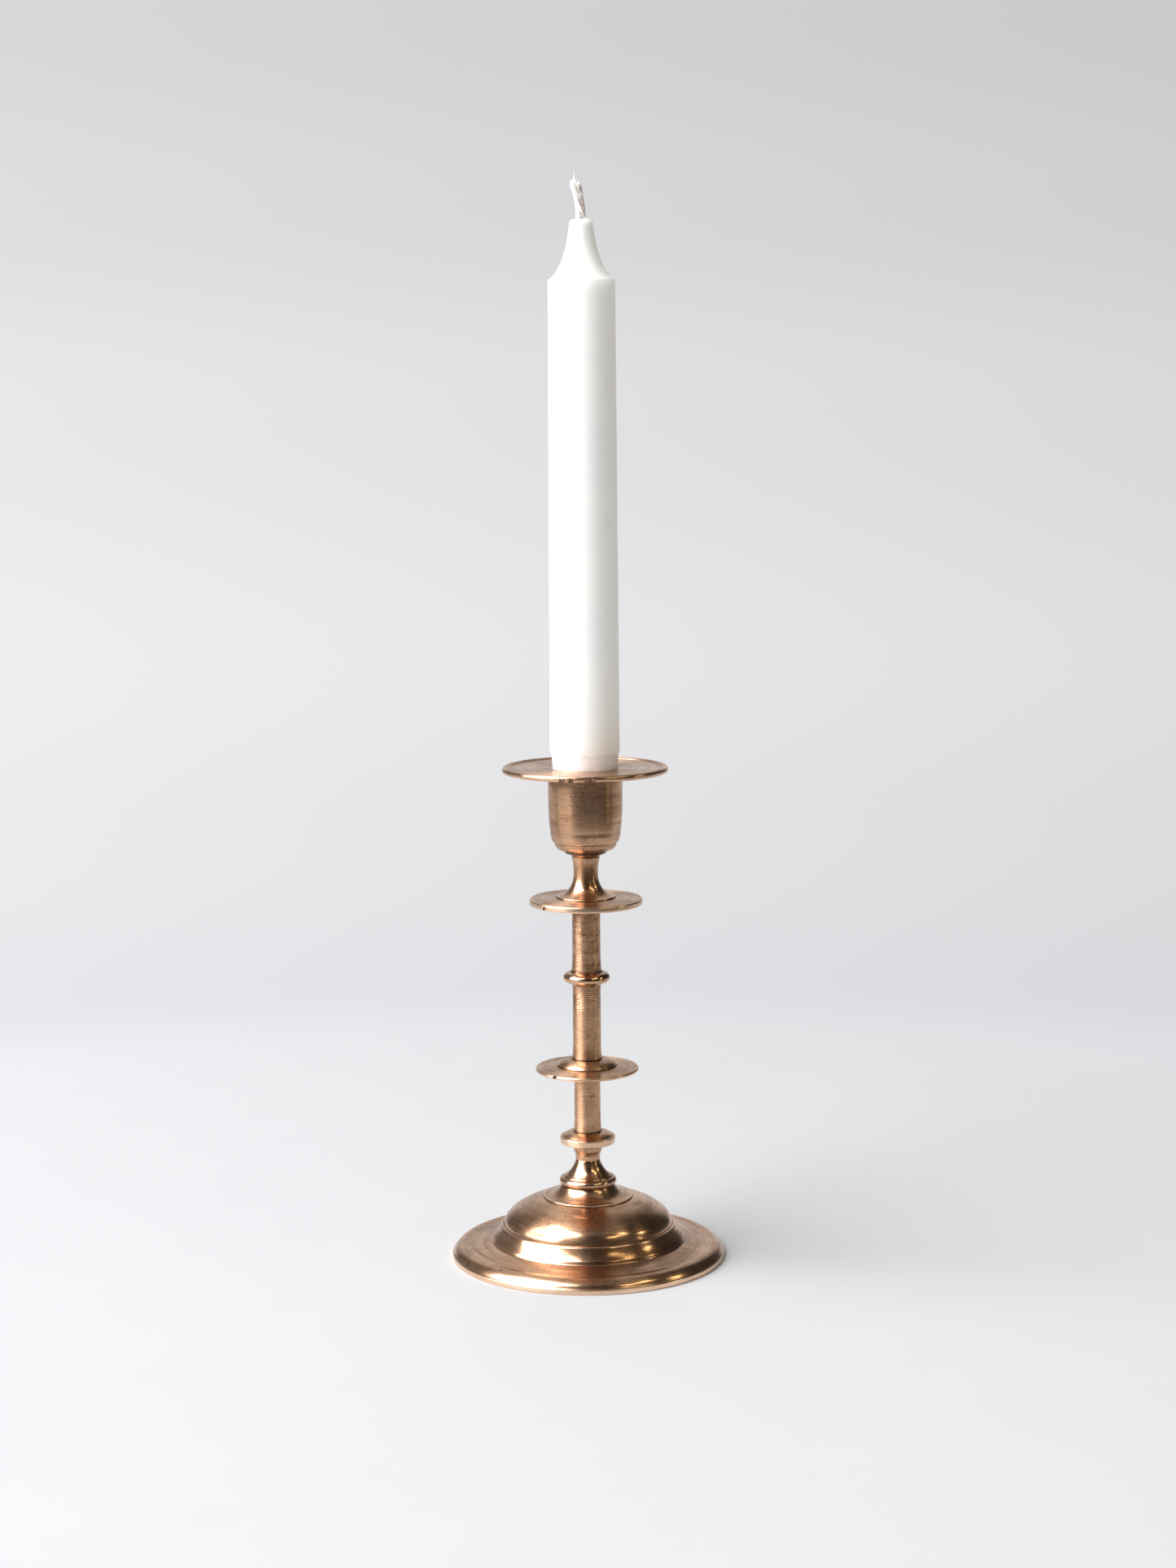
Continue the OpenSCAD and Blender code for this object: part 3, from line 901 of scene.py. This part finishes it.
def backdrop(tree, x, z):
    """The pale wall that the camera sees, with painted light falloff: lighter low down and a little
    lighter at the left.
    """
    low, high = BACKDROP[0][0], BACKDROP[-1][0]
    shades = tree.nodes.new("ShaderNodeValToRGB")
    shades.color_ramp.interpolation = "EASE"
    elements = shades.color_ramp.elements
    while len(elements) > 1:
        elements.remove(elements[-1])
    for i, (height, colour) in enumerate(BACKDROP):
        place = (height - low) / (high - low)
        element = elements.new(place) if i else elements[0]
        element.position = place
        element.color = (*(linear(level) for level in colour), 1)
    height = put(tree, "ShaderNodeMapRange", {"Value": z, "From Min": low, "From Max": high})
    tree.links.new(height.outputs[0], shades.inputs[0])
    # painted light falloff: brighter at the left, darker at the right
    painted_falloff_sideways = put(tree, "ShaderNodeMapRange", {
        "Value": x, "From Min": -0.25, "From Max": 0.25, "To Min": 1.04, "To Max": 0.86,
    })
    wall = put(tree, "ShaderNodeBackground", {
        "Color": shades.outputs[0], "Strength": painted_falloff_sideways.outputs[0],
    })
    return wall.outputs[0]


def room(tree, x, y, z, path):
    """The room that lights the part: pale behind it and at the left, dark in front of it."""
    flat = put(tree, "ShaderNodeCombineXYZ", {"X": x, "Y": y, "Z": 0.0}).outputs[0]
    flat = put(tree, "ShaderNodeVectorMath", {0: flat}, operation="NORMALIZE").outputs[0]
    heading = put(tree, "ShaderNodeSeparateXYZ", {"Vector": flat}).outputs
    behind = ramp(tree, heading["Y"], 0.82, 0.985, 0.0, 0.64)
    behind = maths(tree, "MULTIPLY", behind, ramp(tree, z, 0.5, 0.95, 1.0, 0.4))
    leftward = ramp(tree, heading["X"], 0.0, -0.8, 0.0, 0.16)
    ground = ramp(tree, z, 0.04, -0.12, 0.0, 0.6)
    ground = maths(tree, "MULTIPLY", ground, ramp(tree, heading["Y"], -0.35, 0.5))
    ceiling = ramp(tree, z, 0.82, 0.97, 0.03, 0.25)
    level = maths(tree, "MAXIMUM", maths(tree, "ADD", behind, leftward), ground)
    level = maths(tree, "ADD", level, ceiling)
    # matt surfaces get some more light than reflections show
    matt = maths(tree, "SUBTRACT", 1.0, path["Is Glossy Ray"])
    level = maths(tree, "ADD", level, maths(tree, "MULTIPLY", matt, 0.22))
    light = put(tree, "ShaderNodeBackground", {"Color": (0.985, 0.99, 1.0, 1.0), "Strength": level})
    return light.outputs[0]


def studio_world():
    world = bpy.data.worlds.new("studio")
    bpy.context.scene.world = world
    world.use_nodes = True
    tree = world.node_tree
    tree.nodes.clear()
    direction = put(tree, "ShaderNodeTexCoord").outputs["Generated"]
    x, y, z = put(tree, "ShaderNodeSeparateXYZ", {"Vector": direction}).outputs
    path = put(tree, "ShaderNodeLightPath").outputs
    both = mix_shaders(tree, path["Is Camera Ray"], room(tree, x, y, z, path), backdrop(tree, x, z))
    surface(tree, both, "ShaderNodeOutputWorld")


studio_world()

AIM = Vector((0, 0, 0.06))


def panel(name, azimuth, elevation, distance, width, height, radiance, colour):
    """A soft light panel. Azimuth 0 is the camera's side and positive is to the right."""
    a, e = math.radians(azimuth), math.radians(elevation)
    back = Vector((math.sin(a) * math.cos(e), -math.cos(a) * math.cos(e), math.sin(e)))
    data = bpy.data.lights.new(name, "AREA")
    data.shape = "RECTANGLE"
    data.size, data.size_y = width, height
    data.energy = radiance * math.pi * width * height
    data.color = colour
    obj = add_object(name, data)
    obj.location = AIM + back * distance
    obj.rotation_mode = "QUATERNION"
    obj.rotation_quaternion = (-back).to_track_quat("-Z", "Y")
    obj.visible_camera = False


panel("window", -70, 43, 2.3, 2.2, 2.8, 8.2, (1.0, 0.998, 0.995))

# small warm panes at the right: azimuth, elevation, width, height and radiance
PANES = [
    (39, 45, 0.16, 0.13, 6.0),
    (52, 47, 0.12, 0.13, 4.0),
    (67, 51, 0.15, 0.20, 5.0),
    (87, 31, 0.15, 0.16, 7.0),
    (74, 10, 0.05, 0.30, 5.0),
]
for k, (azimuth, elevation, width, height, radiance) in enumerate(PANES):
    panel("pane_%d" % k, azimuth, elevation, 1.1, width, height, radiance, (1.0, 0.88, 0.55))

# the photo's viewpoint, solved from the ellipses of the foot, the discs and the pan
LENS_MM = 64.8
CAMERA_AT = (0.0009, -0.8842, 0.2727)
LOOK_DOWN = math.radians(7.7)
ROLL = math.radians(-0.41)

camera = bpy.data.cameras.new("camera")
camera.lens = LENS_MM
camera.sensor_width = 36.0
camera.clip_start = 0.01
cam = add_object("camera", camera)
tilt = Matrix.Rotation(math.pi / 2 - LOOK_DOWN, 4, "X")
cam.matrix_world = Matrix.Translation(CAMERA_AT) @ tilt @ Matrix.Rotation(ROLL, 4, "Z")
bpy.context.scene.camera = cam
bpy.context.scene.view_settings.view_transform = "Standard"
